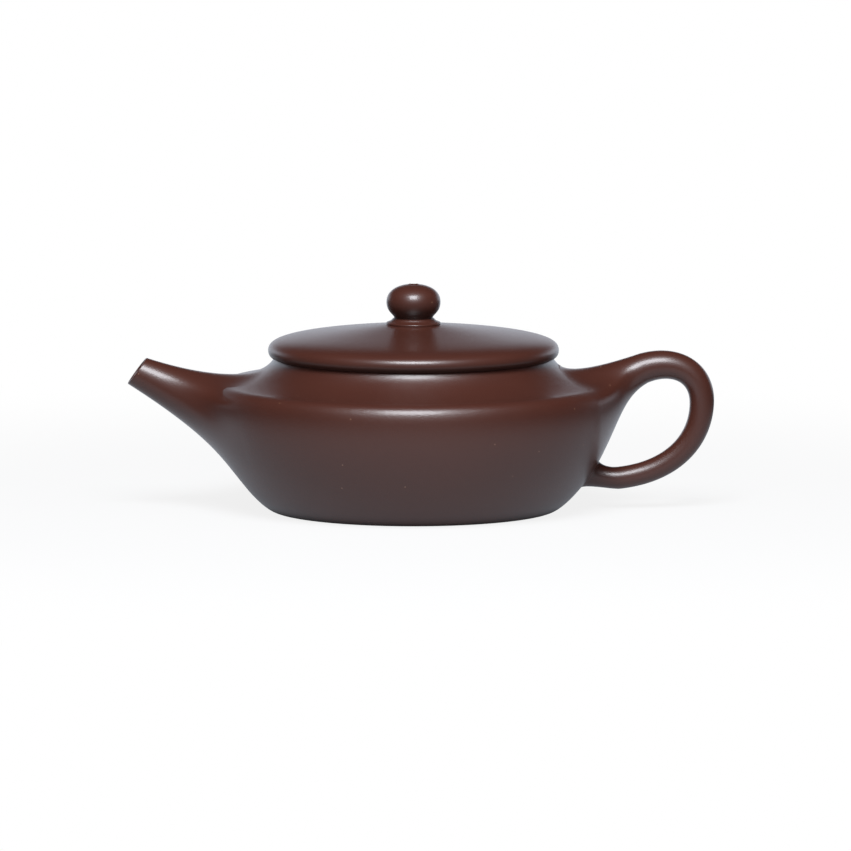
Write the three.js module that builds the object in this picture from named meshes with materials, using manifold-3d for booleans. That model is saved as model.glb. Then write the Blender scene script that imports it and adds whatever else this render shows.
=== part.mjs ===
// A low, round teapot of unglazed purple clay, with a lift-off lid.
// Every clay member is a separate solid: the base, wall, shoulder and mouth ring of the pot, the hollow
// spout with its ball strainer, the handle, and the disc, flange, collar and knob of the lid.
// Millimetres, +Z up. The pot's axis is Z, the table is z = 0, the spout points to -X, the handle to +X.

import * as THREE from "three";
import { mergeVertices } from "three/addons/utils/BufferGeometryUtils.js";
import Module from "manifold-3d";

// Clay
const wall = 2.6; // the pot's wall
const jointGap = 0.3; // slip line under a luted root
const rootEdge = 0.45; // clay left at the thin edge of a luted root

// Foot and belly
const footRadius = 37.8; // outer edge of the flat foot
const footBand = 5; // width of the flat ring that stands on the table
const footPull = 3.3; // pull of the round corner above the foot
const recessDepth = 0.8; // the pressed-in middle of the base
const recessFlare = 3; // width of the slope round it
const floorThickness = 3;
const baseRise = 7.3; // height of the seam between the base and the wall
const bellyRadius = 54.8;
const bellyHeight = 29.4; // height of the widest ring
const bellyPull = 14.4; // how long the wall stays upright below it

// Ridge, shoulder and neck
const ridgeRise = 5.3; // from the widest ring up to the shoulder's outer edge
const ridgePullLow = 3.1;
const ridgePullTop = 2.25;
const shoulderAngle = THREE.MathUtils.degToRad(12);
const shoulderRun = 12.6; // from the shoulder's outer edge in to the neck
const shoulderRise = 6; // and up to the edge of the lid's seat
const shoulderPull = 6.1;
const neckAngle = THREE.MathUtils.degToRad(35); // how far the neck leans back from upright
const neckPull = 3.75;
const neckBand = 1.5; // height of the mouth ring's outer face
const seatWidth = 2.9; // the flat ring that the lid rests on, with its rounded edges
const mouthRadius = 35;
const mouthSkirt = 2; // how far the mouth ring hangs below the shoulder's inner face
const edgeRound = 0.6;

// Lid
const lidOverhang = 1.35; // past the neck, all round
const lidClearance = 0.4; // between the flange and the mouth, all round
const rimHalf = 1.9; // from the seat up to the lid's widest ring
const rimTuck = 1.6; // how far the underside of the rim rounds in
const rimPull = 1;
const lidRise = 8.9; // from the seat up to the flat land under the knob
const landRound = 25.3; // pull of the dome from the land outwards
const landFall = 0.136; // how steeply the dome falls away from the land
const rimRound = 3.8; // pull of the dome above the rim
const lidThickness = 3.4;
const flangeDepth = 8;
const flangeThickness = 2.4;
const ventRadius = 0.6;

// Knob
const collarRadius = 7.4;
const collarEdge = 0.5;
const collarHeight = 1.8;
const collarHollow = 0.1; // how far its slope bows in
const knobNeck = 5.3;
const knobRadius = 7.3;
const knobUnderside = 4.3; // from the knob's neck up to its widest ring
const knobTopside = 5; // and from there to its top
const knobPullNeck = 0.9;
const knobPullLow = 2.2;
const knobPullHigh = 2.8;
const knobPullCrown = 2.6;
const ventLip = 0.4; // height of the soft lip round the vent
const ventLipWidth = 0.8;

// Spout
const spoutReach = 19.85; // from the widest ring out to the middle of the tip
const spoutTipDrop = 3.8; // from the seat down to the middle of the tip
const spoutTipRadius = 4.16;
const spoutRise = THREE.MathUtils.degToRad(21.6); // slope of the spout at the tip
const spoutCut = THREE.MathUtils.degToRad(53.7); // slope of the cut across the tip
const spoutTaperTop = 0.121; // how fast it widens from the tip, along its top
const spoutTaperLow = 0.172; // and along its underside
const spoutTipPullTop = 20;
const spoutTipPullLow = 29.2;
const spoutTipPullSide = -8; // shorter pulls at the sides keep it round
const spoutRootTop = 4.6; // below the seat
const spoutRootLow = 3.4; // above the table
const spoutRootHalfWidth = 22;
const spoutRootPullTop = 1.5;
const spoutRootPullLow = 7.3;
const spoutRootPullSide = 6; // longer pulls at the sides run the root softly into the wall
const spoutWall = 1.5;
const boreBendIn = 7; // pull of the bore's bend at the passage
const boreBendOut = 12; // and at the tip

// Passage through the wall, and the ball strainer over it
const passageDrop = 3.4; // below the widest ring
const passageRadius = 5;
const strainerRadius = 7;
const strainerWall = 1.6;
const strainerHoleRadius = 0.95;
const strainerRings = [
  { holes: 1, tilt: 0 },
  { holes: 6, tilt: 27 },
  { holes: 12, tilt: 54 },
];

// Handle. Its middle line has an upper arc and a lower arc, which meet where it is furthest out.
const handleReach = 23.05; // from the widest ring out to the middle line
const handleBackDrop = 0.15; // from the widest ring's height down to that point
const handleTopOut = 7.3; // the upper arc starts this far past the widest ring
const handleTopDrop = 3; // and this far below the seat
const handleTopRise = THREE.MathUtils.degToRad(18.6);
const handleLowOut = 0.8; // the lower arc ends this far past the widest ring
const handleLowHeight = 8.7; // and this far above the table
const handleLowFall = THREE.MathUtils.degToRad(6.6);
const handleTopPull = 9;
const handleBackPullUp = 8.1;
const handleBackPullDown = 10;
const handleLowPull = 14.6;
const handleTopRadius = 4.2;
const handleBackRadius = 3.32;
const handleLowRadius = 2.78;
const handleWidthRatio = 1.08; // width over thickness

// The handle's upper root, on the shoulder
const handleRootTop = 2.9; // below the seat
const handleRootLow = 14.2; // above the table
const handleRootHalfWidth = 14;
const handleRootPullTop = 4;
const handleRootPullLow = 11;
const handleRootPullSide = 6;
const handleRootEndTop = 8.5;
const handleRootEndLow = 7.5;
const handleRootFlare = 0.18; // how fast the underside spreads towards the root

// The handle's lower root, on the belly
const handleFootTop = 13.2; // above the table
const handleFootLow = 5.3;
const handleFootHalfWidth = 4.4;
const handleFootPull = 1.2;
const handleFootPullInside = 2.4; // in the loop, where its corner is filled
const handleFootEndPull = 2.4;
const handleFootEndInside = 3.2;

// Facets
const turns = 48; // round the pot and lid
const knobTurns = 24;
const spoutSides = 48;
const handleSides = 24;
const baseRows = 6; // up the outside of each member
const wallRows = 12;
const shoulderRows = 6;
const mouthRows = 2;
const spoutRows = 11;
const boreSides = 18;
const boreRows = 7;
const rootRows = 5;
const armRows = 8; // along each half of the handle
const domeRows = 8;
const strainerSides = 20;
const strainerRows = 4;
const drillSides = 8;

// Sizes that follow
const neckRadius = mouthRadius + seatWidth;
const ridgeRadius = neckRadius + shoulderRun;
const ridgeHeight = bellyHeight + ridgeRise;
const neckTop = ridgeHeight + shoulderRise;
const seatHeight = neckTop + edgeRound;
const lidRadius = neckRadius + lidOverhang;
const lidTop = seatHeight + lidRise;
const flangeRadius = mouthRadius - lidClearance;
const flangeBore = flangeRadius - flangeThickness;
const flangeBottom = seatHeight - flangeDepth;
const knobBase = lidTop + collarHeight;
const passageHeight = bellyHeight - passageDrop;

const wasm = await Module();
wasm.setup();

// A closed geometry as a solid that can be cut.
function solidOf(geometry) {
  const loose = geometry.index ? geometry.toNonIndexed() : geometry;
  const bare = new THREE.BufferGeometry().setAttribute("position", loose.getAttribute("position"));
  const merged = mergeVertices(bare, 1e-4);
  const vertProperties = merged.getAttribute("position").array;
  const triVerts = new Uint32Array(merged.index.array);
  return new wasm.Manifold(new wasm.Mesh({ numProp: 3, vertProperties, triVerts }));
}

function geometryOf(solid) {
  const { vertProperties, triVerts } = solid.getMesh();
  const geometry = new THREE.BufferGeometry();
  geometry.setAttribute("position", new THREE.BufferAttribute(vertProperties, 3));
  geometry.setIndex(new THREE.BufferAttribute(triVerts, 1));
  geometry.computeVertexNormals();
  return geometry;
}

// Turns a closed outline of [radius, height] round the Z axis. It runs up the outside and down the inside.
function turned(outline, sides = turns) {
  const points = outline.map(([r, z]) => new THREE.Vector2(r, z));
  return new THREE.LatheGeometry(points, sides).rotateX(Math.PI / 2);
}

// Skins a list of rings, each with the same number of points, into one closed surface.
// The first ring and the last one are each drawn together to a single point.
function skinned(rings) {
  const sides = rings[0].length;
  const positions = rings.flat().flatMap((p) => [p.x, p.y, p.z]);
  const faces = [];
  for (let i = 0; i < rings.length - 1; i++) {
    const row = i * sides;
    const next = row + sides;
    for (let j = 0; j < sides; j++) {
      const k = (j + 1) % sides;
      if (i > 0) faces.push(row + j, row + k, next + k);
      if (i < rings.length - 2) faces.push(row + j, next + k, next + j);
    }
  }
  const geometry = new THREE.BufferGeometry();
  geometry.setAttribute("position", new THREE.Float32BufferAttribute(positions, 3));
  geometry.setIndex(faces);
  return mergeVertices(geometry, 1e-4);
}

const steps = (count) => Array.from({ length: count + 1 }, (_, i) => i / count);
const lerp = THREE.MathUtils.lerp;

// The pot's outside, from the edge of the foot up to the edge of the lid's seat.
const shoulderWay = new THREE.Vector2(Math.cos(shoulderAngle), -Math.sin(shoulderAngle));
const neckWay = new THREE.Vector2(Math.sin(neckAngle), -Math.cos(neckAngle));
const outside = new THREE.Path();
outside.moveTo(footRadius, 0);
outside.bezierCurveTo(
  footRadius + footPull, 0,
  bellyRadius, bellyHeight - bellyPull,
  bellyRadius, bellyHeight,
);
outside.bezierCurveTo(
  bellyRadius, bellyHeight + ridgePullLow,
  ridgeRadius + shoulderWay.x * ridgePullTop, ridgeHeight + shoulderWay.y * ridgePullTop,
  ridgeRadius, ridgeHeight,
);
outside.bezierCurveTo(
  ridgeRadius - shoulderWay.x * shoulderPull, ridgeHeight - shoulderWay.y * shoulderPull,
  neckRadius + neckWay.x * neckPull, neckTop + neckWay.y * neckPull,
  neckRadius, neckTop,
);

// A point of that outline at a share u of its length, moved out by lift.
function outlinePoint(u, lift) {
  const p = outside.getPoint(u);
  const t = outside.getTangent(u);
  return [p.x + lift * t.y, p.y - lift * t.x];
}

// The share of the outline's length at which it reaches a height.
function shareAt(height) {
  let [low, high] = [0, 1];
  for (let i = 0; i < 40; i++) {
    const middle = (low + high) / 2;
    if (outside.getPoint(middle).y < height) low = middle;
    else high = middle;
  }
  return (low + high) / 2;
}

// A stretch of the pot's skin between two shares, lifted off the outside.
function stretch(from, to, count, lift = 0) {
  return steps(count).map((s) => outlinePoint(lerp(from, to, s), lift));
}

const baseSeam = shareAt(baseRise);
const shoulderSeam = shareAt(ridgeHeight);
const mouthSeam = shareAt(neckTop - neckBand);

// The whole pot's outline as its members are faceted, moved out by lift and filled in to the axis.
function filledPot(lift, floor) {
  const outline = [
    ...stretch(0, baseSeam, baseRows, lift),
    ...stretch(baseSeam, shoulderSeam, wallRows, lift).slice(1),
    ...stretch(shoulderSeam, mouthSeam, shoulderRows, lift).slice(1),
    ...stretch(mouthSeam, 1, mouthRows, lift).slice(1),
  ].filter(([, z]) => z > floor);
  const [rim, top] = [outline[0][0], outline.at(-1)[1]];
  return solidOf(turned([[0, floor], [rim, floor], ...outline, [0, top], [0, floor]]));
}

function baseDisc() {
  const floorTop = floorThickness + recessDepth;
  const insideCorner = stretch(baseSeam, 0, baseRows - 1, -wall).filter(([, z]) => z > floorTop);
  const floorEdge = insideCorner.at(-1)[0] - wall / 2;
  return turned([
    [0, recessDepth],
    [footRadius - footBand - recessFlare, recessDepth],
    [footRadius - footBand, 0],
    ...stretch(0, baseSeam, baseRows),
    ...insideCorner,
    [floorEdge, floorTop],
    [0, floorTop],
  ]);
}

// The wall, with the round passage into the spout.
function bodyWall() {
  const shell = turned([
    ...stretch(baseSeam, shoulderSeam, wallRows),
    ...stretch(shoulderSeam, baseSeam, wallRows - 4, -wall),
    outlinePoint(baseSeam, 0),
  ]);
  const length = 4 * wall;
  const drill = new THREE.CylinderGeometry(passageRadius, passageRadius, length, boreSides)
    .rotateZ(Math.PI / 2)
    .translate(-bellyRadius, 0, passageHeight);
  return geometryOf(solidOf(shell).subtract(solidOf(drill)));
}

function shoulderDisc() {
  return turned([
    ...stretch(shoulderSeam, mouthSeam, shoulderRows),
    ...stretch(mouthSeam, shoulderSeam, shoulderRows / 2, -wall),
    outlinePoint(shoulderSeam, 0),
  ]);
}

// The mouth ring: the seat on top, the neck outside, and a short skirt inside.
function mouthRing() {
  const [seamRadius, seamHeight] = outlinePoint(mouthSeam, -wall);
  return turned([
    ...stretch(mouthSeam, 1, mouthRows),
    [neckRadius - edgeRound / 4, seatHeight - edgeRound / 3],
    [neckRadius - edgeRound, seatHeight],
    [mouthRadius + edgeRound, seatHeight],
    [mouthRadius, seatHeight - edgeRound],
    [mouthRadius, seamHeight - mouthSkirt],
    [seamRadius, seamHeight - mouthSkirt],
    [seamRadius, seamHeight],
    outlinePoint(mouthSeam, 0),
  ]);
}

// The rim of a root on the pot's skin: an oval round (angle, middle) in the skin's own two directions.
function rootRing(root, sides, share, lift) {
  return steps(sides)
    .slice(0, sides)
    .map((s) => {
      const phi = 2 * Math.PI * s;
      const u = root.middle + share * root.halfLength * Math.cos(phi);
      const angle = root.angle + root.turn * share * root.halfAngle * Math.sin(phi);
      const [r, z] = outlinePoint(u, lift);
      return new THREE.Vector3(r * Math.cos(angle), r * Math.sin(angle), z);
    });
}

function rootAt(angle, turn, top, low, halfWidth) {
  const [uTop, uLow] = [shareAt(top), shareAt(low)];
  const halfAngle = Math.asin(halfWidth / bellyRadius);
  return { angle, turn, middle: (uTop + uLow) / 2, halfLength: (uTop - uLow) / 2, halfAngle };
}

// An oval ring in the plane of the Y axis and a direction in the XZ plane.
function ovalRing(centre, along, halfHeight, halfWidth, sides) {
  return steps(sides)
    .slice(0, sides)
    .map((s) => {
      const phi = 2 * Math.PI * s;
      const up = halfHeight * Math.cos(phi);
      return new THREE.Vector3(centre.x + up * along.x, halfWidth * Math.sin(phi), centre.z + up * along.z);
    });
}

const nearRim = 0.96; // a ring just inside a root's rim gives the skin's own direction there

// Lines that leave a root along the pot's own skin and bend smoothly to the directions of a far ring.
// Pulls are lengths along the top and the low end, and what the sides have on top of both.
function flare(root, sides, farRing, farDirections, pulls, count) {
  const rim = rootRing(root, sides, 1, jointGap + rootEdge);
  const inner = rootRing(root, sides, nearRim, jointGap + rootEdge);
  const lines = rim.map((p, j) => {
    const phi = (2 * Math.PI * j) / sides;
    const upper = (1 + Math.cos(phi)) / 2;
    const side = Math.sin(phi) ** 2;
    const pull = lerp(pulls.low, pulls.top, upper) + pulls.side * side;
    const endPull = lerp(pulls.endLow, pulls.endTop, upper) + pulls.endSide * side;
    const start = inner[j].clone().sub(p).setLength(pull);
    const end = farDirections[j].clone().setLength(endPull);
    return new THREE.CubicBezierCurve3(p, p.clone().add(start), farRing[j].clone().sub(end), farRing[j]);
  });
  return steps(count).map((t) => lines.map((line) => line.getPoint(t)));
}

const spoutRoot = rootAt(
  Math.PI, -1, seatHeight - spoutRootTop, spoutRootLow, spoutRootHalfWidth,
);

// A root's own end: its middle and its rim, sunk into the wall, where the pot's skin will cut them off.
function sunkEnd(root, sides) {
  return [rootRing(root, sides, 0, -wall), rootRing(root, sides, 1, -wall / 2)];
}

// The spout: a hollow taper whose root spreads over the wall, cut off across the tip.
function spout() {
  const tip = new THREE.Vector3(-bellyRadius - spoutReach, 0, seatHeight - spoutTipDrop);
  const cut = new THREE.Vector3(Math.cos(spoutCut), 0, Math.sin(spoutCut));
  const axis = new THREE.Vector3(-Math.cos(spoutRise), 0, Math.sin(spoutRise));
  const tipRing = ovalRing(tip, cut, spoutTipRadius, spoutTipRadius, spoutSides);
  const ways = tipRing.map((p, j) => {
    const taper = lerp(spoutTaperLow, spoutTaperTop, (1 + Math.cos((2 * Math.PI * j) / spoutSides)) / 2);
    return axis.clone().addScaledVector(p.clone().sub(tip).normalize(), -taper);
  });
  const pulls = {
    top: spoutRootPullTop, low: spoutRootPullLow, side: spoutRootPullSide,
    endTop: spoutTipPullTop, endLow: spoutTipPullLow, endSide: spoutTipPullSide,
  };
  const skin = flare(spoutRoot, spoutSides, tipRing, ways, pulls, spoutRows);
  const blank = skinned([...sunkEnd(spoutRoot, spoutSides), ...skin, tipRing.map(() => tip)]);

  const mouth = new THREE.Vector3(-bellyRadius + wall, 0, passageHeight);
  const perpendicular = new THREE.Vector3(-cut.z, 0, cut.x);
  const beyond = tip.clone().add(perpendicular);
  const middleLine = new THREE.CubicBezierCurve3(
    mouth, mouth.clone().add(new THREE.Vector3(-boreBendIn, 0, 0)),
    tip.clone().addScaledVector(axis, -boreBendOut), tip,
  );
  const boreRings = steps(boreRows).map((t) => {
    const radius = lerp(passageRadius, spoutTipRadius - spoutWall, t);
    const lean = lerp(Math.PI / 2, spoutCut, t);
    const across = new THREE.Vector3(Math.cos(lean), 0, Math.sin(lean));
    return ovalRing(middleLine.getPoint(t), across, radius, radius, boreSides);
  });
  const boreEnd = boreRings.at(-1).map((p) => p.clone().add(perpendicular));
  const bore = skinned([
    boreEnd.map(() => mouth),
    ...boreRings,
    boreEnd,
    boreEnd.map(() => beyond),
  ]);
  return geometryOf(solidOf(blank).subtract(solidOf(bore)).subtract(filledPot(jointGap, -jointGap)));
}

// The ball strainer: a pierced dome luted over the passage, inside the pot.
function spoutStrainer() {
  const inner = strainerRadius - strainerWall;
  const centre = -outlinePoint(shareAt(passageHeight), -wall)[0];
  const arc = (radius, from, to) =>
    steps(strainerRows).map((s) => {
      const a = lerp(from, to, s);
      return [radius * Math.cos(a), radius * Math.sin(a)];
    });
  const dome = turned([
    [strainerRadius, -wall],
    ...arc(strainerRadius, 0, Math.PI / 2),
    ...arc(inner, Math.PI / 2, 0),
    [inner, -wall],
    [strainerRadius, -wall],
  ], strainerSides);
  const drill = new THREE.CylinderGeometry(
    strainerHoleRadius, strainerHoleRadius, 3 * strainerWall, drillSides,
  ).rotateX(Math.PI / 2).translate(0, 0, strainerRadius - strainerWall / 2);
  let pierced = solidOf(dome);
  for (const { holes, tilt } of strainerRings)
    for (let i = 0; i < holes; i++) {
      const hole = drill.clone().rotateY(THREE.MathUtils.degToRad(tilt)).rotateZ((2 * Math.PI * i) / holes);
      pierced = pierced.subtract(solidOf(hole));
    }
  const placed = solidOf(geometryOf(pierced).rotateY(Math.PI / 2).translate(centre, 0, passageHeight));
  return geometryOf(placed.intersect(filledPot(-wall - jointGap, floorThickness + recessDepth)));
}

// The handle: a round roll of clay, thickest at the top, luted to the shoulder and to the belly.
function handle() {
  const top = new THREE.Vector3(bellyRadius + handleTopOut, 0, seatHeight - handleTopDrop);
  const back = new THREE.Vector3(bellyRadius + handleReach, 0, bellyHeight - handleBackDrop);
  const low = new THREE.Vector3(bellyRadius + handleLowOut, 0, handleLowHeight);
  const topWay = new THREE.Vector3(Math.cos(handleTopRise), 0, Math.sin(handleTopRise));
  const down = new THREE.Vector3(0, 0, -1);
  const inward = new THREE.Vector3(-Math.cos(handleLowFall), 0, -Math.sin(handleLowFall));
  const upperArc = new THREE.CubicBezierCurve3(
    top, top.clone().addScaledVector(topWay, handleTopPull),
    back.clone().addScaledVector(down, -handleBackPullUp), back,
  );
  const lowerArc = new THREE.CubicBezierCurve3(
    back, back.clone().addScaledVector(down, handleBackPullDown),
    low.clone().addScaledVector(inward, -handleLowPull), low,
  );
  const ringOn = (curve, t, radius) => {
    const way = curve.getTangent(t);
    const outward = new THREE.Vector3(-way.z, 0, way.x);
    return ovalRing(curve.getPoint(t), outward, radius, radius * handleWidthRatio, handleSides);
  };
  const free = [
    ...steps(armRows).map((t) => ringOn(upperArc, t, lerp(handleTopRadius, handleBackRadius, t))),
    ...steps(armRows).slice(1).map((t) => ringOn(lowerArc, t, lerp(handleBackRadius, handleLowRadius, t))),
  ];

  // Each root's lines run from the pot out to the free roll.
  const shoulderRoot = rootAt(0, 1, seatHeight - handleRootTop, handleRootLow, handleRootHalfWidth);
  const topRing = free[0];
  const topWays = topRing.map((p, j) => {
    const lower = (1 - Math.cos((2 * Math.PI * j) / handleSides)) / 2;
    return topWay.clone().addScaledVector(p.clone().sub(top).normalize(), -handleRootFlare * lower);
  });
  const topPulls = {
    top: handleRootPullTop, low: handleRootPullLow, side: handleRootPullSide,
    endTop: handleRootEndTop, endLow: handleRootEndLow, endSide: 0,
  };
  const upperFlare = flare(shoulderRoot, handleSides, topRing, topWays, topPulls, rootRows);

  // The roll arrives upside down at the belly, so its lower root runs the other way round.
  const bellyRoot = rootAt(0, 1, handleFootTop, handleFootLow, handleFootHalfWidth);
  bellyRoot.halfLength *= -1;
  const lowRing = free.at(-1);
  const lowPulls = {
    top: handleFootPull, low: handleFootPullInside, side: 0,
    endTop: handleFootEndPull, endLow: handleFootEndInside, endSide: 0,
  };
  const outward = inward.clone().negate();
  const lowWays = lowRing.map(() => outward);
  const lowerFlare = flare(bellyRoot, handleSides, lowRing, lowWays, lowPulls, rootRows - 2).reverse();

  const rings = [
    ...sunkEnd(shoulderRoot, handleSides),
    ...upperFlare,
    ...free.slice(1, -1),
    ...lowerFlare,
    ...sunkEnd(bellyRoot, handleSides).reverse(),
  ];
  return geometryOf(solidOf(skinned(rings.reverse())).subtract(filledPot(jointGap, -jointGap)));
}

// The dome of the lid, from its widest ring in to the land under the knob.
const rimHeight = seatHeight + rimHalf;
const dome = new THREE.CubicBezierCurve(
  new THREE.Vector2(lidRadius, rimHeight),
  new THREE.Vector2(lidRadius, rimHeight + rimRound),
  new THREE.Vector2(collarRadius + landRound, lidTop - landFall * landRound),
  new THREE.Vector2(collarRadius, lidTop),
);

function lidDisc() {
  const underRim = new THREE.CubicBezierCurve(
    new THREE.Vector2(lidRadius - rimTuck, seatHeight),
    new THREE.Vector2(lidRadius - rimTuck + rimPull, seatHeight),
    new THREE.Vector2(lidRadius, rimHeight - rimPull),
    dome.v0,
  );
  const ceiling = dome.getPoints(domeRows)
    .reverse()
    .map((p) => [p.x, p.y - lidThickness])
    .filter(([r, z]) => r < flangeBore && z > seatHeight + edgeRound);
  return turned([
    ...underRim.getPoints(4).map((p) => p.toArray()),
    ...dome.getPoints(domeRows).slice(1).map((p) => p.toArray()),
    [ventRadius, lidTop],
    [ventRadius, lidTop - lidThickness],
    ...ceiling,
    [flangeBore, seatHeight],
    [lidRadius - rimTuck, seatHeight],
  ]);
}

function lidFlange() {
  return turned([
    [flangeBore, flangeBottom],
    [flangeRadius - edgeRound, flangeBottom],
    [flangeRadius, flangeBottom + edgeRound],
    [flangeRadius, seatHeight],
    [flangeBore, seatHeight],
    [flangeBore, flangeBottom],
  ]);
}

function knobCollar() {
  return turned([
    [ventRadius, lidTop],
    [collarRadius - collarEdge / 2, lidTop],
    [collarRadius, lidTop + collarEdge],
    [(collarRadius + knobNeck) / 2 - collarHollow, (lidTop + collarEdge + knobBase) / 2 - collarHollow],
    [knobNeck, knobBase],
    [ventRadius, knobBase],
    [ventRadius, lidTop],
  ], knobTurns);
}

function knob() {
  const widest = knobBase + knobUnderside;
  const top = widest + knobTopside;
  const lipRadius = ventRadius + ventLipWidth;
  const ball = new THREE.Path();
  ball.moveTo(knobNeck, knobBase);
  ball.bezierCurveTo(
    knobNeck, knobBase + knobPullNeck, knobRadius, widest - knobPullLow, knobRadius, widest,
  );
  ball.bezierCurveTo(
    knobRadius, widest + knobPullHigh,
    lipRadius + knobPullCrown, top - ventLip,
    lipRadius, top - ventLip,
  );
  return turned([
    [ventRadius, knobBase],
    ...ball.getPoints(5).map((p) => p.toArray()),
    [ventRadius + ventLipWidth / 2, top],
    [ventRadius, top - ventLip],
    [ventRadius, knobBase],
  ], knobTurns);
}

const clay = new THREE.MeshStandardMaterial({ color: 0x5a3a33, roughness: 0.42, metalness: 0 });

function piece(name, geometry) {
  const mesh = new THREE.Mesh(geometry, clay.clone());
  mesh.name = name;
  return mesh;
}

const pot = new THREE.Group();
pot.add(
  piece("base_disc", baseDisc()),
  piece("body_wall", bodyWall()),
  piece("shoulder_disc", shoulderDisc()),
  piece("mouth_ring", mouthRing()),
  piece("spout", spout()),
  piece("spout_strainer", spoutStrainer()),
  piece("handle", handle()),
);

const lid = new THREE.Group();
lid.add(
  piece("lid_disc", lidDisc()),
  piece("lid_flange", lidFlange()),
  piece("knob_collar", knobCollar()),
  piece("knob", knob()),
);

const teapot = new THREE.Group();
teapot.add(pot, lid);
export default teapot;
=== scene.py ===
import math
import bpy
import numpy as np
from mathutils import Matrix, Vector


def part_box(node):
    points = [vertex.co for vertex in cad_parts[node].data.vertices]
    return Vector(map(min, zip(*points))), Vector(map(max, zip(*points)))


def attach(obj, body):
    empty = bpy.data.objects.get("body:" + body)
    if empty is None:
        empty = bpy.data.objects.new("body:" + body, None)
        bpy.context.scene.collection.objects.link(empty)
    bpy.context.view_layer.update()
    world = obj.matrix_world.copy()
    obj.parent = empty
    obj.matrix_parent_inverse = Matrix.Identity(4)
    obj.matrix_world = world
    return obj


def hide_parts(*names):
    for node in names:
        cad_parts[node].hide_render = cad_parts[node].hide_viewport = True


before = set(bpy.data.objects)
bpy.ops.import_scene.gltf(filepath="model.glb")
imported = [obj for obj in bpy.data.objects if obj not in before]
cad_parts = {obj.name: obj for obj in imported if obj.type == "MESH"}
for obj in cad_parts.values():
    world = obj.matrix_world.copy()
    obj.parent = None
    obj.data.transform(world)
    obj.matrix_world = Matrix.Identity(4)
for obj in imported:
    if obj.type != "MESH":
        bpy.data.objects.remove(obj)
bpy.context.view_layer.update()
print("frame loaded:", len(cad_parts), "CAD nodes")

metre = 0.001  # shapes are worked out in millimetres, in the frame's own axes
weldDigits = 4  # points that agree to this many places of a millimetre are one vertex
around = 288  # faces round the pot and the lid
sureRow = 20  # a grid's row that is far enough from its end to tell which way the grid faces


# Curves and surfaces

def steps(count):
    return np.linspace(0.0, 1.0, count + 1)


# The angles of a closed ring: the last one is the first again, so that the ring's ends meet.
def circle(count):
    angle = 2 * np.pi * steps(count)
    angle[-1] = 0.0
    return angle


def unit(v):
    return v / np.linalg.norm(v, axis=-1, keepdims=True)


def mixed(a, b, t):
    return a + (b - a) * t


# A quadratic arc from a to c, drawn towards b: (1-t)^2 a + 2 (1-t) t b + t^2 c.
def arc(a, b, c, t):
    return (1 - t) ** 2 * a + 2 * (1 - t) * t * b + t**2 * c


# A cubic Bezier: (1-t)^3 A + 3 (1-t)^2 t B + 3 (1-t) t^2 C + t^3 D, for any shape of t.
def bezier(controls, t):
    t = np.asarray(t, float)[..., None]
    a, b, c, d = (np.asarray(p, float) for p in controls)
    return (1 - t) ** 3 * a + 3 * (1 - t) ** 2 * t * b + 3 * (1 - t) * t**2 * c + t**3 * d


# A line through corners of (radius, height, round). Each round is an arc of count steps from one side
# to the other.
def rounded(corners, count=10):
    places = np.array([corner[:2] for corner in corners], float)
    line = []
    for i, (place, (_, _, size)) in enumerate(zip(places, corners)):
        if size == 0:
            line.append(place[None])
            continue
        start = place + unit(places[i - 1] - place) * size
        end = place + unit(places[i + 1] - place) * size
        line.append(arc(start, place, end, steps(count)[:, None]))
    return np.vstack(line)


# How far along a line each of its points lies: the sum of the steps before it.
def lengthsAlong(line):
    return np.concatenate([[0], np.cumsum(np.linalg.norm(np.diff(line, axis=0), axis=1))])


# A stretch of an outline as rows of (radius, height, normal's radius, normal's height).
# Outlines run up the outside and down the inside, so the normal is the direction turned clockwise.
def stretchOf(line):
    way = unit(np.gradient(line, axis=0))
    return np.column_stack([line, way[:, 1], -way[:, 0]])


# Turns stretches round the Z axis: (r cos a, r sin a, z). Each gives one patch of points, normals and
# the number of its finish.
def turned(stretches, finish=0, count=around):
    angle = circle(count)
    c, s = np.cos(angle), np.sin(angle)
    patches = []
    for rows in stretches:
        r, z, nr, nz = (rows[:, i : i + 1] for i in range(4))
        points = np.stack([r * c, r * s, z + 0 * c], -1)
        normals = np.stack([nr * c, nr * s, nz + 0 * c], -1)
        patches.append((points, normals, finish))
    return patches


# The normals of a grid of points: the cross product of its two directions, the second of them closed.
# All turn over together if the first one in the given row doesn't face the given way.
def gridNormals(points, row, way):
    down = np.gradient(points, axis=0)
    ring = points[:, :-1]
    across = np.roll(ring, -1, axis=1) - np.roll(ring, 1, axis=1)
    across = np.concatenate([across, across[:, :1]], axis=1)
    normals = unit(np.cross(down, across))
    return normals if np.dot(normals[row, 0], way) > 0 else -normals


def addObject(name, data):
    made = bpy.data.objects.new(name, data)
    bpy.context.scene.collection.objects.link(made)
    return made


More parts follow.
